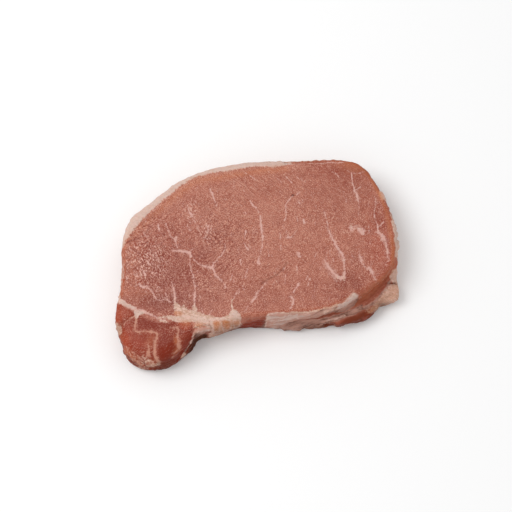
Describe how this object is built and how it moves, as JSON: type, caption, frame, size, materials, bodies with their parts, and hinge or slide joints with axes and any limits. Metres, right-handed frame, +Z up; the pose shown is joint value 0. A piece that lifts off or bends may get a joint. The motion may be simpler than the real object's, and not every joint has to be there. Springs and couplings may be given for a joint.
{
  "type": "boneless pork loin chop",
  "caption": "Raw boneless pork loin chop: wide oval eye of lean with a thin fat cap, a small darker tail across a seam of fat, and a flap of fat at one corner.",
  "frame": {"origin": "middle of the underside, at the bottom centre of the box", "axes": "+X along the length of the chop, away from the tail; +Y across it, towards the fat cap; +Z up out of the shown cut face"},
  "size_m": [0.1208, 0.092, 0.019],
  "materials": {
    "raw_pork": null
  },
  "bodies": {
    "root": {"chop": "raw_pork"}
  },
  "joints": []
}
